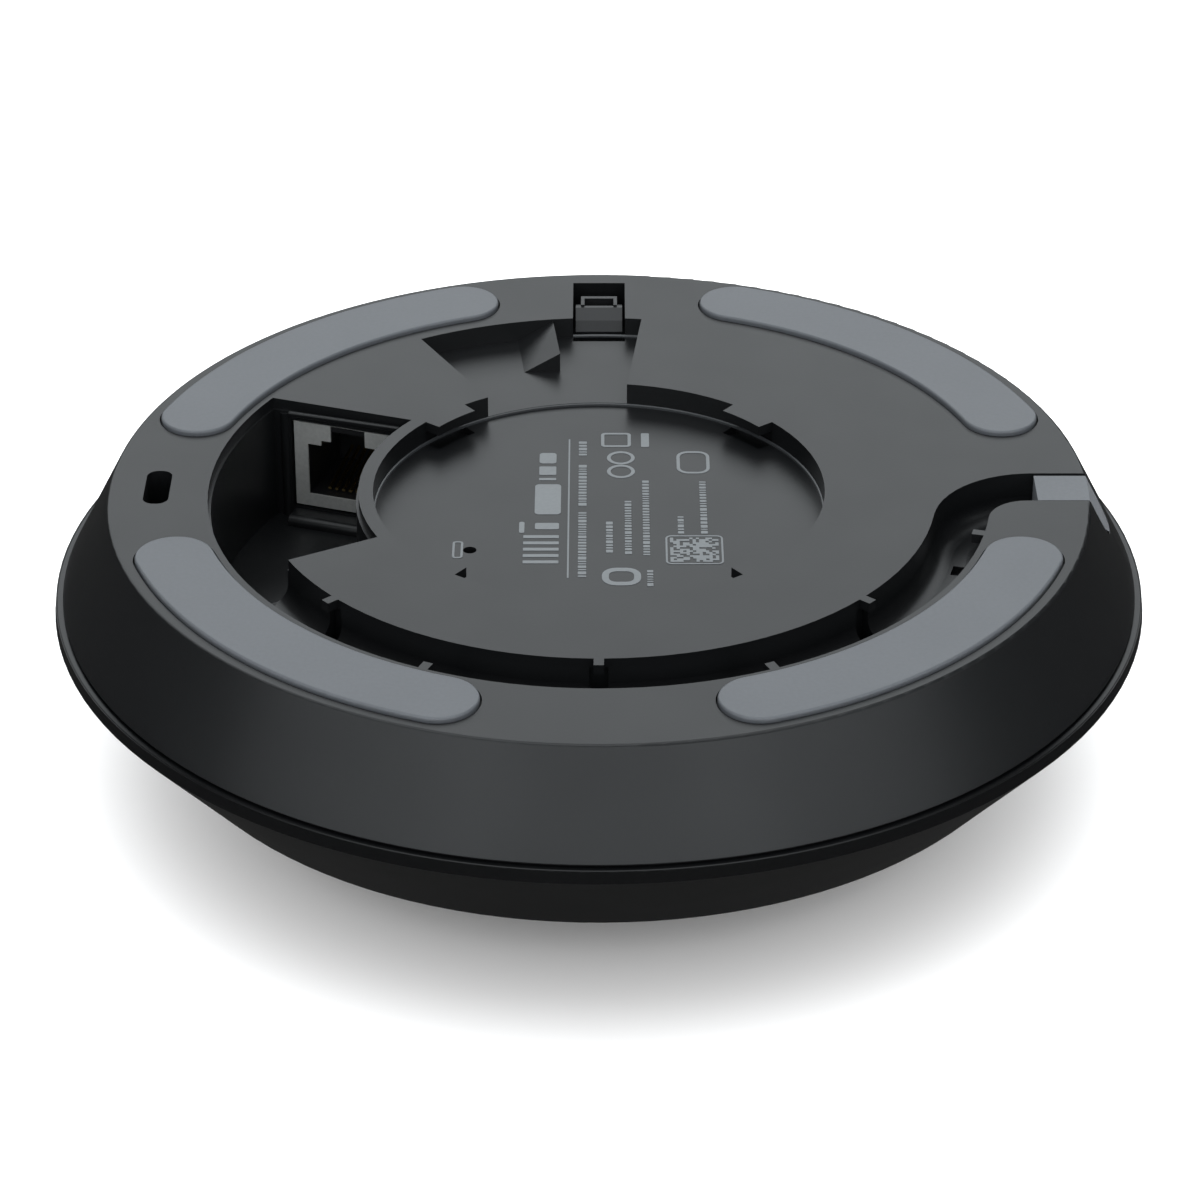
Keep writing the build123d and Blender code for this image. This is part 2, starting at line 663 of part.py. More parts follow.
def make_heat_spreader():
    plate = ring(SPREADER_IN_R, SPREADER_OUT_R, Z_SPREADER_LOW, Z_SPREADER)
    x, y = CHIP_XY
    pad_low = Z_BOARD_LOW - CHIP_H - THERMAL_T
    side = CHIP_SIDE - 2 * THERMAL_INSET
    plate += block(x, y, side, side, Z_SPREADER_LOW, pad_low)
    plate -= block(0, FLEX_Y, FLEX_W + 1.5, 1.6, -DEEP, 0)
    for angle in POST_ANGLES:
        px, py = polar(POST_RING_R, angle)
        plate -= disc(SCREW_R + SCREW_HOLE_GAP, -DEEP, 0, px, py)
    return plate


# ---- front shell ----

def bezel_inner_r(z):
    """Inner radius of the dish at height z."""
    slope = FRONT_SETBACK / (Z_LIP_FOOT - Z_FRONT)
    return RIM_R - BEZEL_WALL - (Z_LIP_FOOT - z) * slope


def seal_radii():
    foot = BACK_R + SHELL_DRAFT
    return foot - SEAL_SLOT_IN, foot - SEAL_SLOT_OUT


def make_front_bezel():
    z_lip = Z_LIP_TOP
    body = lathe([
        (RIM_R - LIP_LEAN, z_lip), (RIM_R, Z_LIP_FOOT), (FRONT_R, Z_FRONT), (COVER_SEAT_R, Z_FRONT),
        (COVER_SEAT_R, Z_LEDGE_LOW), (LEDGE_R, Z_LEDGE_LOW), (LEDGE_R, Z_LEDGE),
        (bezel_inner_r(Z_LEDGE), Z_LEDGE), (RIM_R - BEZEL_WALL, Z_LIP_FOOT),
        (RIM_R - BEZEL_WALL, z_lip)])
    solid_dish = lathe([(0, z_lip), (RIM_R - 1, z_lip), (RIM_R - 1, Z_LIP_FOOT),
                        (bezel_inner_r(Z_LEDGE) + 0.5, Z_LEDGE), (0, Z_LEDGE)])
    for angle in PAD_ANGLES:
        x, y = polar(PAD_R, angle)
        body += disc(BOSS_R, Z_LEDGE - 0.5, Z_LIP_TOP, x, y) & solid_dish
        body += disc(BOSS_R, Z_LIP_TOP - 0.1, Z_BOSS_JOINT, x, y)
        body -= disc(SCREW_R, Z_BOSS_JOINT - HOUSING_BITE - 0.5, 0, x, y)
    r_in, r_out = seal_radii()
    body -= ring(r_in, r_out, z_lip - SEAL_DEEP, 0)
    return body


def make_housing_seal():
    r_in, r_out = seal_radii()
    return ring(r_in, r_out, Z_LIP_TOP - SEAL_DEEP, -SHELL_H)


def ring_bore_r():
    return DOME_FLANGE_R - 0.1


def make_front_cover():
    r = COVER_SEAT_R - COVER_GAP
    step = Z_FRONT + RING_STEP
    wide = DOME_FLANGE_R + 0.6
    body = lathe([(ring_bore_r(), Z_FRONT), (r, Z_FRONT), (r, Z_LEDGE_LOW), (wide, Z_LEDGE_LOW),
                  (wide, step), (ring_bore_r(), step)])
    body = fillet(body.edges().filter_by(GeomType.CIRCLE).group_by(Axis.Z)[0], 0.3)
    return body - disc(MIC_HOLE_R, -DEEP, 0, 0, MIC_Y)


def flange_low():
    return Z_LEDGE - DOME_SEAL_T - DOME_FLANGE_T


def make_light_ring():
    inner = DOME_BASE_R + 0.2
    step = Z_FRONT + RING_STEP
    body = lathe([(inner, Z_FRONT - 0.2), (ring_bore_r() - 0.1, Z_FRONT - 0.2),
                  (ring_bore_r() - 0.1, step), (DOME_FLANGE_R + 0.4, step),
                  (DOME_FLANGE_R + 0.4, flange_low()), (inner, flange_low())])
    return fillet(body.edges().filter_by(GeomType.CIRCLE).group_by(Axis.Z)[0], 0.15)


def dome_sphere():
    """Radius of the dome and the height of its centre."""
    radius = (DOME_BASE_R ** 2 + DOME_RISE ** 2) / (2 * DOME_RISE)
    return radius, Z_TIP + radius


def make_dome():
    radius, centre = dome_sphere()
    inner_r = math.sqrt((radius - DOME_WALL) ** 2 - (centre - Z_FRONT) ** 2)
    top = Z_LEDGE - DOME_SEAL_T
    ball = Pos(0, 0, centre) * Sphere(radius)
    hollow = Pos(0, 0, centre) * Sphere(radius - DOME_WALL)
    cap = (ball - hollow) & disc(DOME_BASE_R + 1, Z_TIP - 1, Z_FRONT)
    collar = ring(inner_r, DOME_BASE_R, Z_FRONT, top)
    return cap + collar + ring(inner_r, DOME_FLANGE_R, flange_low(), top)


def make_dome_seal():
    return ring(DOME_BASE_R, DOME_FLANGE_R - 0.2, Z_LEDGE - DOME_SEAL_T, Z_LEDGE)


def make_inner_frame():
    body = ring(FRAME_BORE_R, FRAME_R, Z_LEDGE, Z_FRAME)
    for angle in POST_ANGLES:
        x, y = polar(POST_RING_R, angle)
        body += disc(POST_R, Z_FRAME, Z_SPREADER_LOW, x, y)
        body -= disc(SCREW_R, Z_LEDGE + POST_FLOOR, 0, x, y)
    for sx in (-1, 1):
        body -= disc(SCREW_R, Z_LEDGE + POST_FLOOR, 0, sx * HOLDER_SCREW_X, 0)
    return body - block(0, FLEX_Y, FLEX_W + 1.0, 1.2, -DEEP, 0)


def make_led_board():
    return ring(LED_BOARD_IN_R, LED_BOARD_OUT_R, Z_LEDGE - LED_BOARD_T, Z_LEDGE)


def lamps(count, ring_r, side, phase):
    low = Z_LEDGE - LED_BOARD_T
    lamp_list = []
    for i in range(count):
        body = block(ring_r, 0, side, side, low - LED_H, low)
        lamp_list.append(Rot(0, 0, phase + i * 360 / count) * body)
    return Compound(children=lamp_list)


def make_ir_leds():
    return lamps(LED_COUNT, LED_RING_R, IR_LED_SIDE, 180 / LED_COUNT)


def make_status_leds():
    return lamps(STATUS_COUNT, LED_BOARD_IN_R + STATUS_INSET, STATUS_SIDE, 0.0)


def make_microphone():
    low = Z_LEDGE - LED_BOARD_T
    body = block(0, MIC_Y, MIC_W, MIC_L, low - LED_H, low)
    return body - disc(MIC_PORT_R, -DEEP, low - 0.2, 0, MIC_Y)


def make_led_flex():
    return block(0, FLEX_Y, FLEX_W, FLEX_T, Z_LEDGE, Z_BOARD_LOW)


# ---- lens module ----

def make_lens_holder():
    body = block(0, 0, HOLDER_X, HOLDER_Y, Z_HOLDER_LOW, Z_HOLDER)
    body = fillet(body.edges().filter_by(Axis.Z), 1.2)
    flange = block(0, 0, HOLDER_FLANGE_X, HOLDER_FLANGE_Y, Z_FRAME, Z_FRAME + HOLDER_FLANGE_T)
    body += fillet(flange.edges().filter_by(Axis.Z), 1.5)
    half = CARRIAGE_Y / 2 + 0.3
    body -= block(0, 0, HOLDER_X - 3.0, 2 * half, Z_FILTER_LOW, Z_FILTER_TOP)
    body -= block(0, 0, SENSOR_X + 2, CARRIAGE_Y, Z_FILTER_TOP - 0.5, 0)
    body -= disc(THREAD_R, -DEEP, Z_FILTER_LOW + 0.5)
    for sx in (-1, 1):
        body -= disc(SCREW_R + SCREW_HOLE_GAP, -DEEP, 0, sx * HOLDER_SCREW_X, 0)
    return body


def carriage_mid():
    return FILTER_SHIFT / 2


def carriage_low():
    return Z_FILTER_LOW + (FILTER_SLOT_H - CARRIAGE_T) / 2


def make_filter_carriage():
    low = carriage_low()
    plate = block(carriage_mid(), 0, FILTER_SHIFT + FILTER_SIDE + 2, CARRIAGE_Y, low, low + CARRIAGE_T)
    for x in (0.0, FILTER_SHIFT):
        plate -= block(x, 0, FILTER_SIDE, FILTER_SIDE, -DEEP, 0)
    return plate


def make_filter(x):
    low = carriage_low()
    return block(x, 0, FILTER_SIDE, FILTER_SIDE, low + 0.25, low + CARRIAGE_T - 0.25)


def make_filter_actuator():
    y = (HOLDER_Y + ACTUATOR_T) / 2
    body = block(0, y, ACTUATOR_W, ACTUATOR_T, Z_FRAME + HOLDER_FLANGE_T, Z_HOLDER)
    return fillet(body.edges().filter_by(Axis.Z), 0.6)


def make_sensor_board():
    return block(0, 0, SENSOR_BOARD, SENSOR_BOARD, Z_HOLDER, Z_SENSOR_BOARD)


def make_image_sensor():
    return block(0, 0, SENSOR_X, SENSOR_Y - 2, Z_HOLDER - SENSOR_T, Z_HOLDER)


def make_board_connector():
    return block(0, CONNECTOR_Y, CONNECTOR_W, CONNECTOR_T, Z_SENSOR_BOARD, Z_BOARD_LOW)


def make_lens_barrel():
    front = Z_BARREL_FRONT
    rim = BARREL_R - BARREL_WALL
    return lathe([
        (THREAD_R, Z_FILTER_LOW - 0.2), (THREAD_R, Z_HOLDER_LOW), (BARREL_R, Z_HOLDER_LOW),
        (BARREL_R, front), (rim, front), (rim, front + FRONT_GLASS_T),
        (THREAD_R, front + FRONT_GLASS_T), (THREAD_R, front + LENS_SEAT),
        (REAR_BORE_R, front + LENS_SEAT),
        (REAR_BORE_R, Z_FILTER_LOW - 0.2)])


def make_front_element():
    """Meniscus: a flat rim, a bulge outside and a hollow inside."""
    rim = BARREL_R - BARREL_WALL
    bulge_r = rim - 1.0
    low = Z_BARREL_FRONT
    radius = (bulge_r ** 2 + FRONT_BULGE ** 2) / (2 * FRONT_BULGE)
    ball = Pos(0, 0, low - FRONT_BULGE + radius) * Sphere(radius)
    body = disc(rim, low, low + FRONT_GLASS_T) + (ball & disc(bulge_r, low - FRONT_BULGE - 1, low))
    hollow_r = 9.0
    return body - Pos(0, 0, low + FRONT_GLASS_T - 1.8 + hollow_r) * Sphere(hollow_r)


def lens_disc(radius, z_mid, rim_t, ball_r):
    """Biconvex element."""
    edge = math.sqrt(ball_r ** 2 - radius ** 2)
    up = Pos(0, 0, z_mid + rim_t / 2 - edge) * Sphere(ball_r)
    down = Pos(0, 0, z_mid - rim_t / 2 + edge) * Sphere(ball_r)
    return disc(radius, z_mid - 5, z_mid + 5) & up & down


def make_middle_element():
    return lens_disc(THREAD_R, Z_BARREL_FRONT + 3.0, 0.9, 24.0)


def make_rear_element():
    return lens_disc(REAR_BORE_R, Z_FILTER_LOW - 2.0, 1.0, 12.0)


def make_retaining_ring():
    return ring(BARREL_R - LOCK_RING_W, BARREL_R, Z_BARREL_FRONT - LOCK_RING_T, Z_BARREL_FRONT)


# ---- screws ----

def make_housing_screws():
    seat = -PAD_POCKET - SCREW_HEAD_H - 0.3
    length = seat - Z_BOSS_JOINT + HOUSING_BITE
    return Compound(children=[screw(*polar(PAD_R, a), seat, length) for a in PAD_ANGLES])


def make_board_screws():
    length = BOARD_T + BOARD_BITE
    return Compound(children=[screw(x, y, Z_BOARD_LOW, length, up=True) for x, y in BOARD_SCREWS])


def make_spreader_screws():
    length = SPREADER_T + POST_H + FRAME_T - 0.6
    places = [polar(POST_RING_R, a) for a in POST_ANGLES]
    return Compound(children=[screw(x, y, Z_SPREADER, length) for x, y in places])


def make_holder_screws():
    seat = Z_FRAME + HOLDER_FLANGE_T
    length = HOLDER_FLANGE_T + FRAME_T - 0.6
    return Compound(children=[screw(sx * HOLDER_SCREW_X, 0, seat, length) for sx in (-1, 1)])


PIECES = {
    "rear_housing": make_rear_housing,
    "cable_exit_plug": make_exit_plug,
    "bracket_latch": make_latch,
    "jack_shield": make_jack_shield,
    "jack_insert": make_jack_insert,
    "jack_contacts": make_jack_contacts,
    "jack_seal": make_jack_seal,
    "main_board": make_main_board,
    "reset_switch": make_reset_switch,
    "reset_stem": make_reset_stem,
    "poe_transformer": make_transformer,
    "capacitors": make_capacitors,
    "power_inductor": make_inductor,
    "processor": make_processor,
    "memory_chips": make_memory_chips,
    "thermal_pad": make_thermal_pad,
    "heat_spreader": make_heat_spreader,
    "front_bezel": make_front_bezel,
    "housing_seal": make_housing_seal,
    "front_cover": make_front_cover,
    "light_ring": make_light_ring,
    "dome_cover": make_dome,
    "dome_seal": make_dome_seal,
    "inner_frame": make_inner_frame,
    "led_board": make_led_board,
    "ir_leds": make_ir_leds,
    "status_leds": make_status_leds,
    "microphone": make_microphone,
    "led_flex": make_led_flex,
    "lens_holder": make_lens_holder,
    "filter_carriage": make_filter_carriage,
    "filter_actuator": make_filter_actuator,
    "sensor_board": make_sensor_board,
    "image_sensor": make_image_sensor,
    "board_connector": make_board_connector,
    "lens_barrel": make_lens_barrel,
    "front_element": make_front_element,
    "middle_element": make_middle_element,
    "rear_element": make_rear_element,
    "lens_retaining_ring": make_retaining_ring,
    "housing_screws": make_housing_screws,
    "board_screws": make_board_screws,
    "spreader_screws": make_spreader_screws,
    "holder_screws": make_holder_screws,
}

os.makedirs("parts", exist_ok=True)
for name, make in PIECES.items():
    export_step(make(), f"parts/{name}.step")
for number, angle in enumerate(PAD_ANGLES, start=1):
    export_step(make_foot_pad(angle), f"parts/foot_pad_{number}.step")
export_step(make_filter(0.0), "parts/ir_cut_filter.step")
export_step(make_filter(FILTER_SHIFT), "parts/clear_filter.step")
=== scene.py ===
# %% [markdown]
# # Disc-shaped ceiling unit, seen from its mounting side
# The unit is a flat disc with a bracket recess, a jack bay and a cable channel in its back and a
# glass dome in its front. Its shells come from the CAD model and stay exactly as they are. This
# script gives every one of them a finish, and adds the thin things that CAD leaves out: prints,
# moulding ledges and the rings round the lens.

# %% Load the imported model
import json
import math
import random
import bmesh
import bpy
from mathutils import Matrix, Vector

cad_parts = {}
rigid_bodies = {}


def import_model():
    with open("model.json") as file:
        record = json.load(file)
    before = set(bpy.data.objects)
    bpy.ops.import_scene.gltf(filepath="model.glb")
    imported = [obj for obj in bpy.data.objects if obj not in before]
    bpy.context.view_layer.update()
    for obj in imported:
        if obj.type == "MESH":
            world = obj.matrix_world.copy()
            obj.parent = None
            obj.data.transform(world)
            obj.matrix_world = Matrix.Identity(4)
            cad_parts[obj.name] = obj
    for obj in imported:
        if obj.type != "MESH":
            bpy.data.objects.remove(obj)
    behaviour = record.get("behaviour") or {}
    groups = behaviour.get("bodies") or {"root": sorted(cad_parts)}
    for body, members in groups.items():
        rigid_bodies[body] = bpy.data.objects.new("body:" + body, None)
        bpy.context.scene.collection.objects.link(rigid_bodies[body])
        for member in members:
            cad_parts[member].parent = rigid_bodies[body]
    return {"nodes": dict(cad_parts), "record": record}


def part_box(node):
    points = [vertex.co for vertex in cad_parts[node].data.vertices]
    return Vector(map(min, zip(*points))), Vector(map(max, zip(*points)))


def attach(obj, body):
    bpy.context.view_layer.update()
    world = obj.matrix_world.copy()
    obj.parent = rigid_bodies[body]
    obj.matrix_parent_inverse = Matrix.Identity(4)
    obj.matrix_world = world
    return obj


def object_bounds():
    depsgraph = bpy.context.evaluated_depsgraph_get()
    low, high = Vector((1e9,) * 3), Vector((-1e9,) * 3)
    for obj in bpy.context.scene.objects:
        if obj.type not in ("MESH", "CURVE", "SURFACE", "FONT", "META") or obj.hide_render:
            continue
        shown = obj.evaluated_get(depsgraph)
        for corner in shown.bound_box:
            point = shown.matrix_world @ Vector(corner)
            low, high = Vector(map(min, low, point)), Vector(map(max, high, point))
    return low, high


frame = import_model()
cad_low, cad_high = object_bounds()
bpy.ops.object.select_all(action="DESELECT")
random.seed(8)
MM = 0.001
print("pieces from CAD:", len(frame["nodes"]))

# %% [markdown]
# The tip, the front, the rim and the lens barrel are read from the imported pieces, so that what
# stands on them follows them. The floor of the recess and the top of the lip are steps inside
# larger pieces, so their heights are written out. The back face is at zero by the frame's own
# definition.

# %% Sizes read from the frame
TIP_Z = cad_low.z
BEZEL_LOW, BEZEL_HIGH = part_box("front_bezel")
BARREL_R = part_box("lens_barrel")[1].x
RIM_R = BEZEL_HIGH.x
RECESS_Z = -3.45 * MM
LIP_TOP_Z = -13.25 * MM
PRINT_T = 0.05 * MM
print("rim radius", round(RIM_R, 4), "front", round(BEZEL_LOW.z, 4), "tip", round(TIP_Z, 4))


# %% [markdown]
# ## Camera
# The unit is looked at from the side where it has no cable exit, thirty degrees above the floor,
# with a long lens from just over half a metre. A long lens keeps the circles close to true
# ellipses. The camera is aimed at a point inside the unit, next to its axis. Its sensor and
# its lens are in millimetres, and its distance is in metres.

# %% Camera
CAMERA_DISTANCE = 0.5829
CAMERA_ELEVATION = math.radians(29.99)
CAMERA_TARGET = Vector((0.00015, 0, -0.0175))
SENSOR_WIDTH = 36
FOCAL_LENGTH = 129


def add_camera():
    back = Vector((0, -math.cos(CAMERA_ELEVATION), math.sin(CAMERA_ELEVATION)))
    bpy.ops.object.camera_add(location=CAMERA_TARGET + back * CAMERA_DISTANCE)
    camera = bpy.context.object
    camera.name = "view_camera"
    camera.rotation_euler = (math.pi / 2 - CAMERA_ELEVATION, 0, 0)
    camera.data.sensor_width = SENSOR_WIDTH
    camera.data.lens = FOCAL_LENGTH
    bpy.context.scene.camera = camera
    print("camera at", [round(v, 3) for v in camera.location], "lens", FOCAL_LENGTH)


add_camera()

# %% [markdown]
# ## Floor and light
# The unit lies on its dome on a plain white floor. Black plastic shows hardly any colour of its
# own: what the eye sees is the light that it mirrors. So a wide soft light stands behind and above
# the unit, where the flat back mirrors it towards the camera and turns grey, while upright walls
# mirror the dim front of the room and stay dark. The floor itself is left out of reflections, and
# its underside is clear, so that the unit can be seen from below.

# %% Floor
FLOOR_SIZE = 6.0
FLOOR_GAP = 0.0002
PAPER_WHITE = (0.92, 0.92, 0.92, 1)


def paper_material():
    paper = bpy.data.materials.new("studio_paper")
    paper.use_nodes = True
    tree = paper.node_tree
    shader = tree.nodes["Principled BSDF"]
    shader.inputs["Base Color"].default_value = PAPER_WHITE
    shader.inputs["Roughness"].default_value = 1.0
    shader.inputs["Specular IOR Level"].default_value = 0.0
    side = tree.nodes.new("ShaderNodeNewGeometry")
    window = tree.nodes.new("ShaderNodeBsdfTransparent")
    mix = tree.nodes.new("ShaderNodeMixShader")
    tree.links.new(side.outputs["Backfacing"], mix.inputs["Fac"])
    tree.links.new(shader.outputs["BSDF"], mix.inputs[1])
    tree.links.new(window.outputs["BSDF"], mix.inputs[2])
    tree.links.new(mix.outputs["Shader"], tree.nodes["Material Output"].inputs["Surface"])
    return paper


def add_floor():
    bpy.ops.mesh.primitive_plane_add(size=FLOOR_SIZE, location=(0, 0, TIP_Z - FLOOR_GAP))
    floor = bpy.context.object
    floor.name = "studio_floor"
    floor.data.materials.append(paper_material())
    floor.visible_glossy = False
    print("floor at", round(floor.location.z, 4))
    return floor


studio_floor = add_floor()

# %% [markdown]
# The floor is lit by a sky of its own: a sun that is almost half a sphere wide, and that reaches
# nothing but the floor. It keeps the floor white and its shadow close to the unit and soft.

# %% Sky over the floor
SKY_WIDTH = math.radians(175)
SKY_POWER = 5.5


def add_floor_sky(floor):
    bpy.ops.object.light_add(type="SUN", location=(0, 0, 1))
    sky = bpy.context.object
    sky.name = "floor_sky"
    sky.data.angle = SKY_WIDTH
    sky.data.energy = SKY_POWER
    lit = bpy.data.collections.new("lit_by_floor_sky")
    lit.objects.link(floor)
    sky.light_linking.receiver_collection = lit


add_floor_sky(studio_floor)

# %% [markdown]
# The room around the unit is nearly dark, so that the walls keep their depth. Where the camera
# looks straight at it, past the edge of the floor or from below, it is pale instead.

# %% Backdrop
ROOM_STRENGTH = 0.05
BACKDROP_STRENGTH = 0.85


def set_world():
    world = bpy.data.worlds.new("studio_room")
    world.use_nodes = True
    tree = world.node_tree
    room = tree.nodes["Background"]
    room.inputs["Color"].default_value = (1, 1, 1, 1)
    ray = tree.nodes.new("ShaderNodeLightPath")
    backdrop = tree.nodes.new("ShaderNodeMath")
    backdrop.operation = "MULTIPLY_ADD"
    backdrop.inputs[1].default_value = BACKDROP_STRENGTH
    backdrop.inputs[2].default_value = ROOM_STRENGTH
    tree.links.new(ray.outputs["Is Camera Ray"], backdrop.inputs[0])
    tree.links.new(backdrop.outputs[0], room.inputs["Strength"])
    bpy.context.scene.world = world
    print("world", world.name, "strength", ROOM_STRENGTH)


set_world()
bpy.context.scene.view_settings.view_transform = "Standard"

# %% [markdown]
# Softboxes are area lights that are aimed at the unit. Azimuth 0 is behind it, elevation counts up
# from the floor, and a radiance of 1 looks white. The back card turns the flat back grey, the
# overhead one softens it, three in front lift the side wall, and a low one shows the dome side.

# %% Softboxes
CARD_TINT = (0.92, 0.97, 1.0)
CARDS = [
    # name, azimuth, elevation, distance, size, radiance
    ("back_card", 0, 30, 1.8, (2.6, 1.0), 1.6),
    ("overhead_card", 0, 88, 1.6, (1.8, 1.8), 1.6),
    ("front_card_left", 230, 26, 1.6, (1.5, 0.8), 1.5),
    ("front_card_middle", 180, 26, 1.6, (1.5, 0.8), 1.5),
    ("front_card_right", 130, 26, 1.6, (1.5, 0.8), 1.5),
    ("low_card", 180, -58, 1.6, (1.2, 0.6), 1.0),
]


def add_card(name, azimuth, elevation, distance, size, radiance):
    turn, rise = math.radians(azimuth), math.radians(elevation)
    flat = math.cos(rise)
    away = Vector((math.sin(turn) * flat, math.cos(turn) * flat, math.sin(rise)))
    bpy.ops.object.light_add(type="AREA", location=away * distance)
    lamp = bpy.context.object
    lamp.name = name
    lamp.data.shape = "RECTANGLE"
    lamp.data.size, lamp.data.size_y = size
    lamp.data.energy = radiance * math.pi * size[0] * size[1]
    lamp.data.color = CARD_TINT
    lamp.rotation_euler = away.to_track_quat("Z", "Y").to_euler()
    print(name, "power", round(lamp.data.energy, 2))


for card in CARDS:
    add_card(*card)

# %% [markdown]
# The cards in front would wash out the shadow under the unit, so they don't light the floor. The
# low card stands below the floor. It doesn't light the floor either, and it shines through it.

# %% Keep the floor out of the front light
def spare_the_floor(floor):
    spared = bpy.data.collections.new("without_floor")
    spared.objects.link(floor)
    spared.collection_objects[0].light_linking.link_state = "EXCLUDE"
    for lamp in bpy.data.objects:
        if lamp.name.startswith(("front_card", "low_card")):
            lamp.light_linking.receiver_collection = spared
            print(lamp.name, "spares", floor.name)
        if lamp.name.startswith("low_card"):
            lamp.light_linking.blocker_collection = spared


spare_the_floor(studio_floor)


# %% [markdown]
# ## Shared effects
# Moulded plastic, rubber, solder mask and paint all need the same few irregularities: a fine grain
# from the mould, a slow change of tone, and smudges that change the gloss. Each effect is a node
# group that gives out only a colour, a value or a normal, so that any material can use it with
# its own numbers. The patterns read object coordinates, which are metres in the unit's own frame.
# Two short helpers make an empty group with its sockets, and a noise texture.

# %% Group helpers
def new_group(name, inputs, outputs):
    group = bpy.data.node_groups.new(name, "ShaderNodeTree")
    for label, kind, value in inputs:
        socket = group.interface.new_socket(name=label, in_out="INPUT", socket_type=kind)
        if value is not None:
            socket.default_value = value
    for label, kind in outputs:
        group.interface.new_socket(name=label, in_out="OUTPUT", socket_type=kind)
    return group, group.nodes.new("NodeGroupInput"), group.nodes.new("NodeGroupOutput")


def noise_node(tree, scale, detail=3.0):
    node = tree.nodes.new("ShaderNodeTexNoise")
    node.inputs["Detail"].default_value = detail
    if scale is not None:
        node.inputs["Scale"].default_value = scale
    return node


# %% [markdown]
# A spark-eroded mould leaves a fine, even grain. The noise is the height of a bump node, and the
# group gives out the bent normal. The grain is less than two hundredths of a millimetre deep.

# %% Mould grain
GRAIN_HEIGHT = 0.00005


def build_grain_group():
    group, start, end = new_group("mould_grain", [
        ("Vector", "NodeSocketVector", None), ("Scale", "NodeSocketFloat", 2500.0),
        ("Depth", "NodeSocketFloat", 0.1)], [("Normal", "NodeSocketVector")])
    links = group.links
    fine = noise_node(group, None, 2.0)
    bump = group.nodes.new("ShaderNodeBump")
    bump.inputs["Distance"].default_value = GRAIN_HEIGHT
    links.new(start.outputs["Vector"], fine.inputs["Vector"])
    links.new(start.outputs["Scale"], fine.inputs["Scale"])
    links.new(fine.outputs["Fac"], bump.inputs["Height"])
    links.new(start.outputs["Depth"], bump.inputs["Strength"])
    links.new(bump.outputs["Normal"], end.inputs["Normal"])
    return group


GRAIN = build_grain_group()
print("effect", GRAIN.name)

# %% [markdown]
# The colour wanders slowly and carries fine specks. Two noises are added, their sum is mapped to a
# factor a little below or above one, and the colour is scaled with that factor.

# %% Tone change
TONE_CLOUD, TONE_SPECKS = 55.0, 1800.0
TONE_LOW, TONE_HIGH = 0.6, 1.4


def build_tone_group():
    group, start, end = new_group("tone_change", [
        ("Vector", "NodeSocketVector", None), ("Color", "NodeSocketColor", (0.1, 0.1, 0.1, 1)),
        ("Amount", "NodeSocketFloat", 0.1)], [("Color", "NodeSocketColor")])
    links = group.links
    slow, specks = noise_node(group, TONE_CLOUD), noise_node(group, TONE_SPECKS, 1.0)
    total = group.nodes.new("ShaderNodeMath")
    total.operation = "ADD"
    spread = group.nodes.new("ShaderNodeMapRange")
    spread.inputs["From Min"].default_value = TONE_LOW
    spread.inputs["From Max"].default_value = TONE_HIGH
    low = group.nodes.new("ShaderNodeMath")
    low.operation = "SUBTRACT"
    low.inputs[0].default_value = 1.0
    high = group.nodes.new("ShaderNodeMath")
    high.inputs[0].default_value = 1.0
    scaled = group.nodes.new("ShaderNodeVectorMath")
    scaled.operation = "SCALE"
    for node in (slow, specks):
        links.new(start.outputs["Vector"], node.inputs["Vector"])
    links.new(slow.outputs["Fac"], total.inputs[0])
    links.new(specks.outputs["Fac"], total.inputs[1])
    links.new(total.outputs[0], spread.inputs["Value"])
    links.new(start.outputs["Amount"], low.inputs[1])
    links.new(start.outputs["Amount"], high.inputs[1])
    links.new(low.outputs[0], spread.inputs["To Min"])
    links.new(high.outputs[0], spread.inputs["To Max"])
    links.new(start.outputs["Color"], scaled.inputs[0])
    links.new(spread.outputs["Result"], scaled.inputs["Scale"])
    links.new(scaled.outputs["Vector"], end.inputs["Color"])
    return group


TONE = build_tone_group()
print("effect", TONE.name)

# %% [markdown]
# Handling leaves a gloss that wanders a little. A soft noise is centred on zero, scaled by the
# spread and added to the roughness.

# %% Gloss smudge
SMUDGE_CLOUD = 90.0


def build_smudge_group():
    group, start, end = new_group("gloss_smudge", [
        ("Vector", "NodeSocketVector", None), ("Roughness", "NodeSocketFloat", 0.4),
        ("Spread", "NodeSocketFloat", 0.08)], [("Roughness", "NodeSocketFloat")])
    links = group.links
    cloud = noise_node(group, SMUDGE_CLOUD, 4.0)
    centred = group.nodes.new("ShaderNodeMath")
    centred.operation = "SUBTRACT"
    centred.inputs[1].default_value = 0.5
    scaled = group.nodes.new("ShaderNodeMath")
    scaled.operation = "MULTIPLY_ADD"
    links.new(start.outputs["Vector"], cloud.inputs["Vector"])
    links.new(cloud.outputs["Fac"], centred.inputs[0])
    links.new(centred.outputs[0], scaled.inputs[0])
    links.new(start.outputs["Spread"], scaled.inputs[1])
    links.new(start.outputs["Roughness"], scaled.inputs[2])
    links.new(scaled.outputs[0], end.inputs["Roughness"])
    return group


SMUDGE = build_smudge_group()
print("effect", SMUDGE.name)


# %% [markdown]
# ## Materials
# One function makes the common surface: tone change into the colour, smudges into the roughness
# and grain into the normal. A number that is the same all over is set on the shader itself. After
# the colour and the roughness, each call gives the amount of tone change, the spread of the
# smudges, and the scale and depth of the grain.

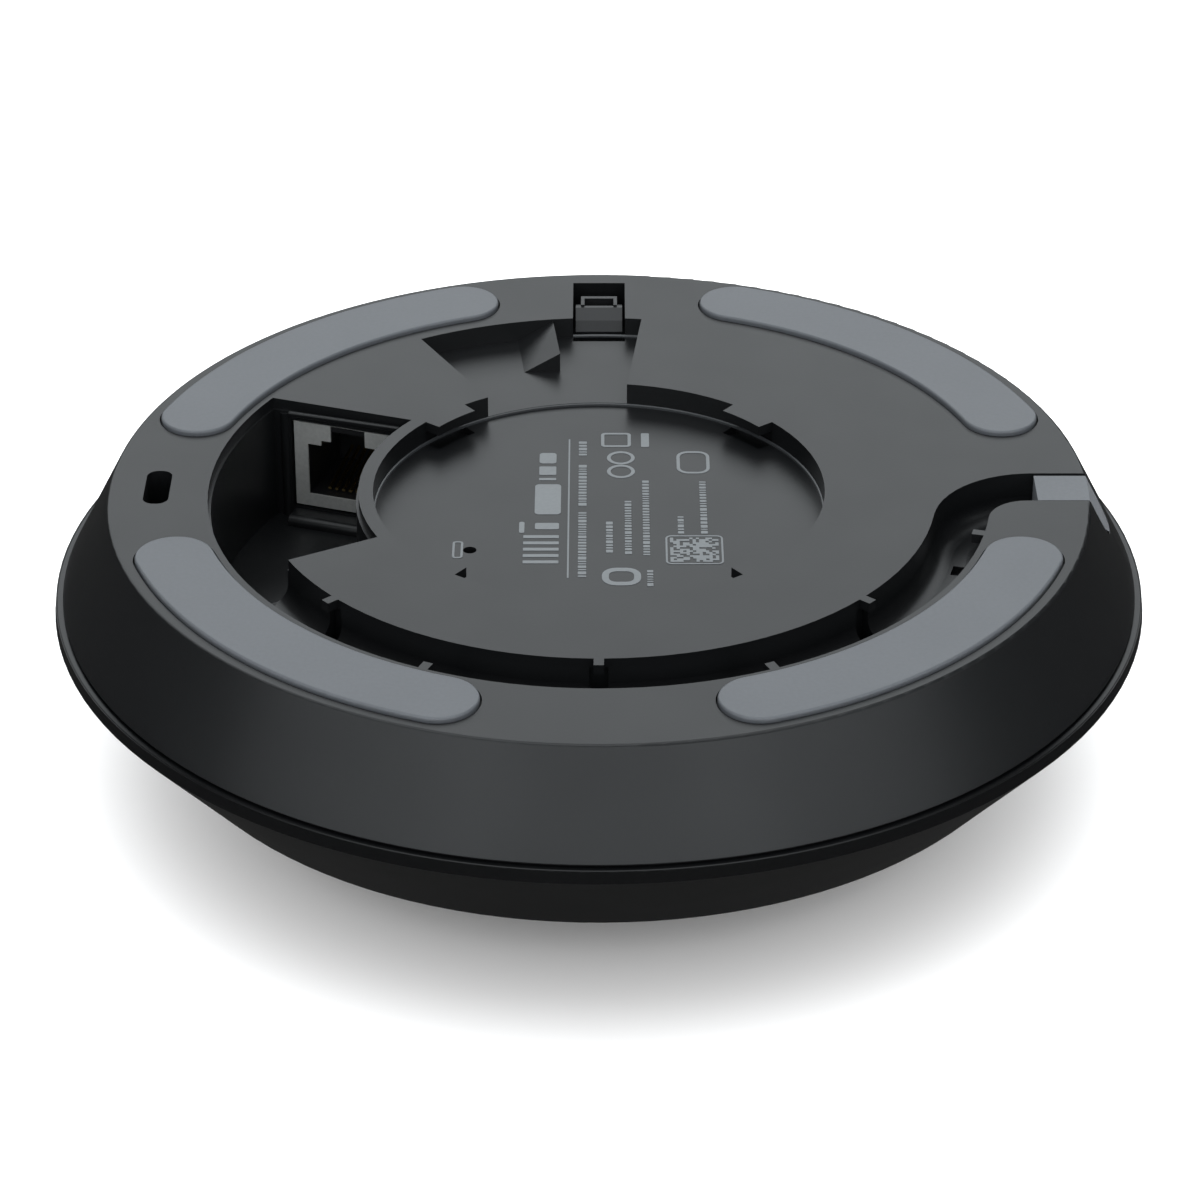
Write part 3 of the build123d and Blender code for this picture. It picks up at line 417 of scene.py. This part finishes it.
# %% Surface builder
def surface(name, color, rough, tone, smudge, grain, metal=0.0, gloss=0.5, coat=0.0):
    mat = bpy.data.materials.new(name)
    mat.use_nodes = True
    tree = mat.node_tree
    shader = tree.nodes["Principled BSDF"]
    where = tree.nodes.new("ShaderNodeTexCoord")
    nodes = {}
    for key, group in (("tone", TONE), ("smudge", SMUDGE), ("grain", GRAIN)):
        nodes[key] = tree.nodes.new("ShaderNodeGroup")
        nodes[key].node_tree = group
        tree.links.new(where.outputs["Object"], nodes[key].inputs["Vector"])
    nodes["tone"].inputs["Color"].default_value = (*color, 1)
    nodes["tone"].inputs["Amount"].default_value = tone
    nodes["smudge"].inputs["Roughness"].default_value = rough
    nodes["smudge"].inputs["Spread"].default_value = smudge
    nodes["grain"].inputs["Scale"].default_value = grain[0]
    nodes["grain"].inputs["Depth"].default_value = grain[1]
    tree.links.new(nodes["tone"].outputs["Color"], shader.inputs["Base Color"])
    tree.links.new(nodes["smudge"].outputs["Roughness"], shader.inputs["Roughness"])
    tree.links.new(nodes["grain"].outputs["Normal"], shader.inputs["Normal"])
    shader.inputs["Metallic"].default_value = metal
    shader.inputs["Specular IOR Level"].default_value = gloss
    shader.inputs["Coat Weight"].default_value = coat
    print("finish", name)
    return mat


# %% [markdown]
# The housing is charcoal ABS with a fine even grain. The bezel is the same family, blacker and
# smoother. The pads and the exit plug are grey rubber, lighter than the plastic and without gloss.

# %% Plastics and rubbers
housing_abs = surface("housing_abs", (0.0075, 0.0080, 0.0088), 0.36, 0.08, 0.06, (2600.0, 0.10))
bezel_abs = surface("bezel_abs", (0.0030, 0.0032, 0.0036), 0.30, 0.10, 0.08, (2200.0, 0.05),
                    gloss=0.4)
latch_abs = surface("latch_abs", (0.012, 0.0125, 0.0135), 0.36, 0.06, 0.06, (2600.0, 0.10))
pad_rubber = surface("pad_rubber", (0.150, 0.158, 0.172), 0.38, 0.05, 0.05, (1900.0, 0.06))
plug_rubber = surface("plug_rubber", (0.200, 0.208, 0.222), 0.50, 0.07, 0.05, (1700.0, 0.12))
seal_rubber = surface("seal_rubber", (0.012, 0.012, 0.013), 0.70, 0.10, 0.05, (900.0, 0.20))
# A lighter copy of the housing plastic for the moulding ledges: a painted highlight, so that they
# show as a fine light line.
ledge_highlight_abs = surface("ledge_highlight_abs", (0.060, 0.063, 0.067), 0.30, 0.10, 0.05, (2600.0, 0.04))
inner_abs = surface("inner_abs", (0.035, 0.035, 0.037), 0.50, 0.12, 0.08, (1500.0, 0.15))
jack_nylon = surface("jack_nylon", (0.010, 0.010, 0.011), 0.45, 0.10, 0.08, (1500.0, 0.10))
barrel_black = surface("barrel_black", (0.012, 0.012, 0.013), 0.38, 0.10, 0.06, (3000.0, 0.10))
ring_milk = surface("ring_milk", (0.62, 0.66, 0.70), 0.35, 0.05, 0.05, (1200.0, 0.04))
print_ink = surface("print_ink", (0.27, 0.285, 0.295), 0.50, 0.06, 0.05, (3500.0, 0.10))
lamp_resin = surface("lamp_resin", (0.62, 0.60, 0.42), 0.25, 0.10, 0.05, (1500.0, 0.05))

# %% [markdown]
# Metals are mostly a matter of roughness: the jack's tinned sheet is drawn and slightly cloudy,
# the spreader is stamped aluminium, and the screws are zinc plated.

# %% Metals and boards
jack_tin = surface("jack_tin", (0.62, 0.62, 0.60), 0.42, 0.10, 0.15, (700.0, 0.12), metal=0.4)
spreader_alu = surface("spreader_alu", (0.72, 0.73, 0.75), 0.38, 0.06, 0.15, (500.0, 0.15),
                       metal=1.0)
zinc_steel = surface("zinc_steel", (0.58, 0.58, 0.60), 0.30, 0.12, 0.12, (900.0, 0.10), metal=1.0)
contact_gold = surface("contact_gold", (0.90, 0.66, 0.28), 0.22, 0.05, 0.06, (900.0, 0.05),
                       metal=1.0)
can_alu = surface("can_alu", (0.70, 0.70, 0.72), 0.25, 0.05, 0.08, (600.0, 0.06), metal=1.0)
board_mask = surface("board_mask", (0.012, 0.085, 0.040), 0.32, 0.15, 0.08, (420.0, 0.25),
                     coat=0.3)
chip_epoxy = surface("chip_epoxy", (0.018, 0.018, 0.020), 0.60, 0.12, 0.06, (1300.0, 0.25))
core_wound = surface("core_wound", (0.060, 0.052, 0.045), 0.50, 0.20, 0.10, (350.0, 0.35))
pad_thermal = surface("pad_thermal", (0.30, 0.36, 0.50), 0.75, 0.08, 0.05, (700.0, 0.25))
flex_film = surface("flex_film", (0.45, 0.20, 0.03), 0.30, 0.10, 0.08, (800.0, 0.08))
sensor_dark = surface("sensor_dark", (0.020, 0.024, 0.036), 0.08, 0.10, 0.03, (300.0, 0.02),
                      gloss=0.8)

# %% [markdown]
# The front is smoked and polished, so it is nearly black with a clear coat. Glass keeps its
# transmission on the shader, with only a trace of smudge in its roughness.

# %% Polished front and glass
cover_gloss = surface("cover_gloss", (0.006, 0.006, 0.007), 0.08, 0.10, 0.06, (400.0, 0.01),
                      coat=0.6)
GLASS_SMUDGE = (0.02, 0.02, (200.0, 0.005))


def clear(name, color, rough, ior):
    mat = surface(name, color, rough, *GLASS_SMUDGE)
    shader = mat.node_tree.nodes["Principled BSDF"]
    shader.inputs["Transmission Weight"].default_value = 1.0
    shader.inputs["IOR"].default_value = ior
    return mat


dome_clear = clear("dome_clear", (0.96, 0.97, 0.98), 0.02, 1.49)
lens_coated = clear("lens_coated", (0.78, 0.86, 0.98), 0.01, 1.60)
filter_coated = clear("filter_coated", (0.50, 0.86, 0.90), 0.01, 1.52)

# %% [markdown]
# ## Finishes on the CAD pieces
# The record says which slot each piece belongs to, so one table from slot to material dresses
# them all. Only the bracket latch, which shares a slot with the housing, is a shade lighter.

# %% Dress the CAD pieces
SLOT_FINISH = {
    "housing_plastic": housing_abs, "bezel_plastic": bezel_abs, "pad_rubber": pad_rubber,
    "plug_rubber": plug_rubber, "seal_rubber": seal_rubber, "jack_metal": jack_tin,
    "jack_plastic": jack_nylon, "contact_gold": contact_gold, "board_green": board_mask,
    "chip_black": chip_epoxy, "can_metal": can_alu, "core_dark": core_wound,
    "spreader_alu": spreader_alu, "thermal_grey": pad_thermal, "frame_plastic": inner_abs,
    "cover_gloss": cover_gloss, "ring_plastic": ring_milk, "dome_clear": dome_clear,
    "lens_glass": lens_coated, "filter_glass": filter_coated, "barrel_black": barrel_black,
    "led_white": lamp_resin, "sensor_dark": sensor_dark, "flex_amber": flex_film,
    "screw_steel": zinc_steel, "switch_black": jack_nylon,
}


def dress():
    for row in frame["record"]["subparts"]:
        mesh = frame["nodes"][row["node"]].data
        mesh.materials.clear()
        mesh.materials.append(SLOT_FINISH[row["material_slot"]])
    frame["nodes"]["bracket_latch"].data.materials[0] = latch_abs


dress()

# %% [markdown]
# ## How the added pieces are made
# Each one starts as a primitive at its real place and is shaped in edit mode. Afterwards its place
# is pushed into its mesh, so that the object itself sits at the origin like the CAD pieces, and it
# is told which moving body it rides on and which finish it has.

# %% Modelling helpers
def clear_selection():
    bpy.ops.object.select_all(action="DESELECT")


def settle(name, material, body="root"):
    """Puts the active object's place into its mesh, names it, finishes it and lets it ride."""
    bpy.ops.object.transform_apply(location=True, rotation=True, scale=True)
    piece = bpy.context.object
    piece.name = name
    piece.data.name = name
    piece.data.materials.clear()
    piece.data.materials.append(material)
    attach(piece, body)
    print(name, "faces:", len(piece.data.polygons))
    clear_selection()
    return piece


def join(pieces):
    clear_selection()
    for piece in pieces:
        piece.select_set(True)
    bpy.context.view_layer.objects.active = pieces[0]
    bpy.ops.object.join()
    return bpy.context.object


# %% [markdown]
# ## Prints on the recess floor
# The floor of the recess carries pale printing. Here it is a neutral layout of bars, dashes, rings
# and a dotted block in the same places, without letters or signs. Ink stands only a few hundredths
# of a millimetre high, so each mark is a flat face that is inset or rounded and then extruded.

# %% Flat marks
def flat_mark(x, y, z, grow, corner=0.0):
    """A bar with rounded corners. grow is its half size along X and Y, in metres."""
    clear_selection()
    bpy.ops.mesh.primitive_plane_add(size=2, location=(x, y, z))
    bpy.ops.object.mode_set(mode="EDIT")
    bpy.ops.transform.resize(value=(grow[0], grow[1], 1))
    if corner:
        bpy.ops.mesh.bevel(offset=corner, segments=4, affect="VERTICES")
    bpy.ops.mesh.extrude_region_move(TRANSFORM_OT_translate={"value": (0, 0, PRINT_T)})
    bpy.ops.object.mode_set(mode="OBJECT")
    return bpy.context.object


def bar(x0, x1, y0, y1, corner=0.15, z=RECESS_Z):
    """A bar between two corners given in millimetres."""
    middle = ((x0 + x1) / 2 * MM, (y0 + y1) / 2 * MM)
    half = ((x1 - x0) / 2 * MM, (y1 - y0) / 2 * MM)
    return flat_mark(*middle, z, half, corner * MM)


def outline(x0, x1, y0, y1, line=0.35, corner=0.6, z=RECESS_Z):
    """The same with a hollow middle, and with a line as wide as line."""
    clear_selection()
    middle = ((x0 + x1) / 2 * MM, (y0 + y1) / 2 * MM, z)
    bpy.ops.mesh.primitive_plane_add(size=2, location=middle)
    bpy.ops.object.mode_set(mode="EDIT")
    bpy.ops.transform.resize(value=((x1 - x0) / 2 * MM, (y1 - y0) / 2 * MM, 1))
    bpy.ops.mesh.bevel(offset=corner * MM, segments=5, affect="VERTICES")
    return hollow(line)


def hollow(line):
    """Insets the face in edit mode, deletes its middle and extrudes what is left."""
    bpy.ops.mesh.inset(thickness=line * MM)
    bpy.ops.mesh.delete(type="FACE")
    bpy.ops.mesh.select_all(action="SELECT")
    bpy.ops.mesh.extrude_region_move(TRANSFORM_OT_translate={"value": (0, 0, PRINT_T)})
    bpy.ops.mesh.normals_make_consistent(inside=False)
    bpy.ops.object.mode_set(mode="OBJECT")
    return bpy.context.object


def plain_ring(x, y, radius, line=0.35, z=RECESS_Z):
    clear_selection()
    bpy.ops.mesh.primitive_circle_add(vertices=40, radius=radius * MM, fill_type="NGON",
                                      location=(x * MM, y * MM, z))
    bpy.ops.object.mode_set(mode="EDIT")
    return hollow(line)


# %% [markdown]
# A line of small print reads as a row of short dashes of uneven length at this size. One function
# lays such a row along the Y direction, which is the way that the lines run.

# %% Rows of dashes
def dash_row(x, y0, y1, width, shortest=0.25, longest=0.8, gap=0.3):
    dashes, y = [], y0
    while y < y1 - shortest:
        length = min(random.uniform(shortest, longest), y1 - y)
        dashes.append(bar(x - width / 2, x + width / 2, y, y + length, 0.12))
        y += length + gap
    return dashes


# %% [markdown]
# The layout itself is in millimetres: bars and outlines by their low and high X and Y, rings by
# their middle, and rows by X, their two ends along Y and their width.

# %% Print layout
DASH_ROWS = [
    (-2.2, -18.4, -0.6, 1.1), (-2.2, 0.9, 12.6, 1.1), (-2.2, 15.2, 19.8, 1.1),
    (1.4, -11.9, -3.3, 0.9), (3.9, -12.3, 2.2, 0.9), (6.3, -12.6, 8.3, 0.9),
    (6.7, -20.8, -16.1, 0.8), (10.9, -6.8, -1.9, 0.8), (14.0, -6.8, 7.7, 0.9),
]
marks = [bar(-10.0, -5.3, y, y + 0.75, 0.1) for y in (-14.8, -13.1, -11.4, -9.7, -8.0)]
marks += [
    bar(-10.6, -9.9, -6.6, -3.6, 0.3), bar(-8.5, -5.3, -5.6, -3.9, 0.3),
    bar(-8.6, -5.1, -1.5, 6.9, 0.6), bar(-8.1, -5.8, 8.1, 8.7, 0.1),
    bar(-8.1, -5.8, 9.6, 12.0, 0.2), bar(-8.1, -5.8, 12.9, 15.9, 0.5),
    bar(-4.16, -3.94, -18.6, 19.9, 0.05), bar(5.8, 6.9, 17.7, 21.7, 0.2),
    outline(0.3, 4.4, 17.7, 21.8, 0.45), outline(10.6, 15.1, 10.0, 16.4, 0.45, 1.6),
    outline(0.4, 5.5, -20.6, -16.0, 0.9, 1.9), plain_ring(3.0, 10.6, 1.9, 0.5),
    plain_ring(3.0, 14.5, 1.9, 0.5), outline(-19.3, -17.9, -13.4, -8.9, 0.3, 0.5),
]
for row in DASH_ROWS:
    marks += dash_row(*row)
print("marks:", len(marks))

# %% [markdown]
# The dotted block is a grid with some of its squares taken out and the rest extruded. Which ones
# go is random with a fixed seed, so it carries no code. All the marks are then joined into one
# piece.

# %% Dotted block
def dotted_block(x0, x1, y0, y1, cells, taken_out=0.42):
    clear_selection()
    middle = ((x0 + x1) / 2 * MM, (y0 + y1) / 2 * MM, RECESS_Z)
    bpy.ops.mesh.primitive_grid_add(x_subdivisions=cells, y_subdivisions=cells, size=2,
                                    location=middle)
    block = bpy.context.object
    bpy.ops.object.mode_set(mode="EDIT")
    bpy.ops.transform.resize(value=((x1 - x0) / 2 * MM, (y1 - y0) / 2 * MM, 1))
    bpy.ops.mesh.select_all(action="DESELECT")
    shape = bmesh.from_edit_mesh(block.data)
    for face in shape.faces:
        face.select = random.random() < taken_out
    bmesh.update_edit_mesh(block.data)
    bpy.ops.mesh.delete(type="FACE")
    bpy.ops.mesh.select_all(action="SELECT")
    bpy.ops.mesh.extrude_region_move(TRANSFORM_OT_translate={"value": (0, 0, PRINT_T)})
    bpy.ops.object.mode_set(mode="OBJECT")
    return block


marks += [dotted_block(9.4, 15.8, -14.4, -7.9, 15), outline(8.8, 16.4, -15.0, -7.3, 0.25, 0.8)]
join(marks)
settle("floor_print", print_ink)

# %% [markdown]
# ## Moulding ledges
# Where two mould inserts meet, the walls of the recess and of the sector pocket keep a narrow step
# just above the floor. It is housing plastic, but it is painted much lighter than the housing, a
# painted highlight that shows as a fine light line. Its section is one small rectangle, and
# spinning that round the unit's axis gives an even ring or arc. One upper corner is lowered first,
# so that the top slopes.

# %% Spun ledges
LEDGE_SLOPE = 0.6


def spun_ledge(name, r0, r1, z0, z1, start, sweep, steps, material, slot, low_outside=False):
    """Spins the rectangle r0..r1 by z0..z1 (millimetres) from start through sweep degrees."""
    clear_selection()
    bpy.ops.mesh.primitive_plane_add(size=2, rotation=(math.pi / 2, 0, 0))
    bpy.ops.object.transform_apply(location=False, rotation=True, scale=False)
    bpy.ops.object.mode_set(mode="EDIT")
    bpy.ops.transform.resize(value=((r1 - r0) / 2 * MM, 1, (z1 - z0) / 2 * MM))
    bpy.ops.transform.translate(value=((r0 + r1) / 2 * MM, 0, (z0 + z1) / 2 * MM))
    profile = bpy.context.object
    shape = bmesh.from_edit_mesh(profile.data)
    side = -1 if low_outside else 1
    corner = min(shape.verts, key=lambda v: side * v.co.x - v.co.z)
    corner.co.z -= (r1 - r0) * LEDGE_SLOPE * MM
    bmesh.update_edit_mesh(profile.data)
    bpy.ops.mesh.select_all(action="SELECT")
    bpy.ops.mesh.spin(steps=steps, angle=math.radians(sweep), center=(0, 0, 0), axis=(0, 0, 1))
    bpy.ops.mesh.select_all(action="SELECT")
    bpy.ops.mesh.remove_doubles(threshold=1e-6)
    bpy.ops.mesh.normals_make_consistent(inside=False)
    bpy.ops.object.mode_set(mode="OBJECT")
    ledge = bpy.context.object
    ledge.rotation_euler.z = math.radians(start)
    return settle(name, material)


LEDGES = [
    # name, two radii, two heights (millimetres), start and sweep (degrees), steps
    ("recess_ledge", 29.97, 30.15, -3.5, -3.05, 0, 360, 180),
    ("sector_ledge_left", 50.55, 50.8, -3.0, -2.62, 94.2, 25.2, 30),
    ("sector_ledge_right", 50.55, 50.8, -3.0, -2.62, 83.6, 2.2, 4),
]
# The ledges are housing plastic, but they take its lighter copy as a painted highlight.
for ledge_sizes in LEDGES:
    spun_ledge(*ledge_sizes, ledge_highlight_abs, "housing_plastic")

# %% [markdown]
# The lip of the bezel has a fine raised edge where it meets the housing wall. The same spun
# section makes it, sloping outwards this time, just inside the rim's own radius.

# %% Lip edge
LIP_EDGE_WIDTH = 0.2
LIP_EDGE_SETBACK = 0.2
LIP_EDGE_SUNK, LIP_EDGE_PROUD = 0.1, 0.06
lip_r = RIM_R / MM - LIP_EDGE_SETBACK
lip_z = LIP_TOP_Z / MM
spun_ledge("lip_edge", lip_r - LIP_EDGE_WIDTH, lip_r, lip_z - LIP_EDGE_SUNK,
           lip_z + LIP_EDGE_PROUD, 0, 360, 240, bezel_abs, "bezel_plastic", low_outside=True)

# %% [markdown]
# ## Bead over the jack
# A rounded bead stiffens the edge of the bay above the jack. It is a block, stretched along the
# jack's face, and all its edges are bevelled. Its two ends, its width and height and the height of
# its top are in millimetres.

# %% Bay bead
BEAD_ROUND = 0.22


def add_bay_bead(start, end, width, height, top):
    clear_selection()
    run = Vector(end) - Vector(start)
    middle = (Vector(start) + Vector(end)) / 2
    place = (middle.x * MM, middle.y * MM, (top - height / 2) * MM)
    bpy.ops.mesh.primitive_cube_add(size=2, location=place)
    bead = bpy.context.object
    bead.rotation_euler.z = math.atan2(run.y, run.x)
    bead.scale = (run.length / 2 * MM, width / 2 * MM, height / 2 * MM)
    bpy.ops.object.transform_apply(location=False, rotation=False, scale=True)
    bevel = bead.modifiers.new("round_ends", "BEVEL")
    bevel.width = BEAD_ROUND * MM
    bevel.segments = 4
    bpy.ops.object.modifier_apply(modifier=bevel.name)
    bpy.ops.object.shade_smooth_by_angle(angle=math.radians(40))
    return settle("bay_bead", housing_abs)


add_bay_bead((-43.0, 23.6), (-27.4, 18.9), 0.7, 0.7, -0.95)


# %% [markdown]
# ## Baffle rings under the dome
# Behind the clear dome the lens stands in a stepped black funnel, which keeps light from the ring
# of lamps off the glass. The funnel is a disc whose middle is inset and pushed in three times, so
# that it comes out as a flight of round steps. A last inset leaves a hole for the barrel, and the
# sheet is given its thickness.

# %% Dome baffle
BAFFLE_WALL = 0.3
BAFFLE_ROUND = 0.06
BARREL_GAP = 0.4


def add_dome_baffle(outer_r, bore_r, z_foot, rise, steps):
    clear_selection()
    bpy.ops.mesh.primitive_circle_add(vertices=96, radius=outer_r * MM, fill_type="NGON",
                                      location=(0, 0, z_foot * MM))
    baffle = bpy.context.object
    tread = (outer_r - bore_r) / steps
    riser = rise / steps
    bpy.ops.object.mode_set(mode="EDIT")
    bpy.ops.mesh.flip_normals()
    bpy.ops.mesh.select_mode(type="FACE")
    for step in range(steps):
        bpy.ops.mesh.inset(thickness=tread * MM)
        if step < steps - 1:
            bpy.ops.mesh.extrude_region_move(
                TRANSFORM_OT_translate={"value": (0, 0, riser * MM)})
    bpy.ops.mesh.delete(type="FACE")
    bpy.ops.object.mode_set(mode="OBJECT")
    wall = baffle.modifiers.new("wall", "SOLIDIFY")
    wall.thickness = BAFFLE_WALL * MM
    wall.offset = -1
    bpy.ops.object.modifier_apply(modifier=wall.name)
    bevel = baffle.modifiers.new("step_edges", "BEVEL")
    bevel.width = BAFFLE_ROUND * MM
    bevel.segments = 2
    bpy.ops.object.modifier_apply(modifier=bevel.name)
    bpy.ops.object.shade_smooth_by_angle(angle=math.radians(35))
    return settle("dome_baffle", barrel_black)


add_dome_baffle(17.5, BARREL_R / MM + BARREL_GAP, -29.6, 2.4, 4)
